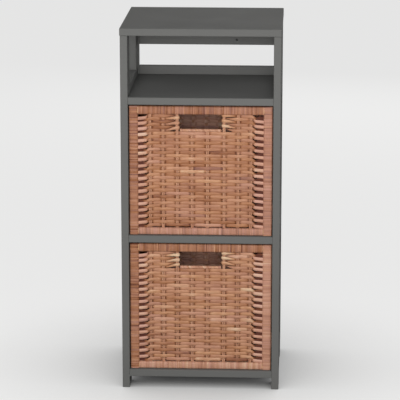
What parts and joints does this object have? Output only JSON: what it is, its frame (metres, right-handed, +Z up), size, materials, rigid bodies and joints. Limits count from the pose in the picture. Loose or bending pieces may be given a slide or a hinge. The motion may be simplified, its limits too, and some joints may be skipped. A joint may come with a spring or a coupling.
{
  "type": "bathroom storage tower",
  "caption": "Slim free-standing bathroom tower: a dark grey board frame with an open compartment under its top and pull-out woven baskets below.",
  "frame": {"origin": "middle of the footprint, on the floor", "axes": "+X to the right seen from the front, +Y to the back, +Z up; the front faces -Y"},
  "size_m": [0.35, 0.32, 0.81],
  "materials": {
    "painted_board": "satin anthracite paint on board",
    "beech_dowel": "plain turned beech",
    "core_wood": "planed softwood strip",
    "zinc_fitting": "zinc plated",
    "wrapped_rattan": "split rattan wrapped round bars, light varnish",
    "woven_rattan": "woven rattan core, light varnish"
  },
  "bodies": {
    "frame": {"top_board": "painted_board", "open_shelf": "painted_board", "divider_shelf": "painted_board", "bottom_shelf": "painted_board", "left_front_post": "painted_board", "right_front_post": "painted_board", "left_rear_post": "painted_board", "right_rear_post": "painted_board", "left_back_stile": "painted_board", "right_back_stile": "painted_board", "left_shelf_rail": "painted_board", "right_shelf_rail": "painted_board", "left_divider_rail": "painted_board", "right_divider_rail": "painted_board", "left_bottom_rail": "painted_board", "right_bottom_rail": "painted_board", "upper_back_rail": "painted_board", "shelf_back_rail": "painted_board", "divider_back_rail": "painted_board", "bottom_back_rail": "painted_board", "side_rail_dowels": "beech_dowel", "top_board_dowels": "beech_dowel", "back_rail_dowels": "beech_dowel", "shelf_dowels": "beech_dowel", "cam_locks": "zinc_fitting", "cam_bolts": "zinc_fitting", "back_frame_screws": "zinc_fitting"},
    "upper_basket": {"upper_basket_front_frame": "wrapped_rattan", "upper_basket_back_frame": "wrapped_rattan", "upper_basket_left_rails": "wrapped_rattan", "upper_basket_right_rails": "wrapped_rattan", "upper_basket_handle_border": "wrapped_rattan", "upper_basket_front_core": "core_wood", "upper_basket_back_core": "core_wood", "upper_basket_rail_cores": "core_wood", "upper_basket_front_weave": "woven_rattan", "upper_basket_back_weave": "woven_rattan", "upper_basket_left_weave": "woven_rattan", "upper_basket_right_weave": "woven_rattan", "upper_basket_base_weave": "woven_rattan"},
    "lower_basket": {"lower_basket_front_frame": "wrapped_rattan", "lower_basket_back_frame": "wrapped_rattan", "lower_basket_left_rails": "wrapped_rattan", "lower_basket_right_rails": "wrapped_rattan", "lower_basket_handle_border": "wrapped_rattan", "lower_basket_front_core": "core_wood", "lower_basket_back_core": "core_wood", "lower_basket_rail_cores": "core_wood", "lower_basket_front_weave": "woven_rattan", "lower_basket_back_weave": "woven_rattan", "lower_basket_left_weave": "woven_rattan", "lower_basket_right_weave": "woven_rattan", "lower_basket_base_weave": "woven_rattan"}
  },
  "joints": [
    {"name": "upper_basket_slide", "type": "slide", "parent": "frame", "child": "upper_basket", "axis": [0, -1, 0], "range_m": [0, 0.285]},
    {"name": "lower_basket_slide", "type": "slide", "parent": "frame", "child": "lower_basket", "axis": [0, -1, 0], "range_m": [0, 0.285]}
  ]
}
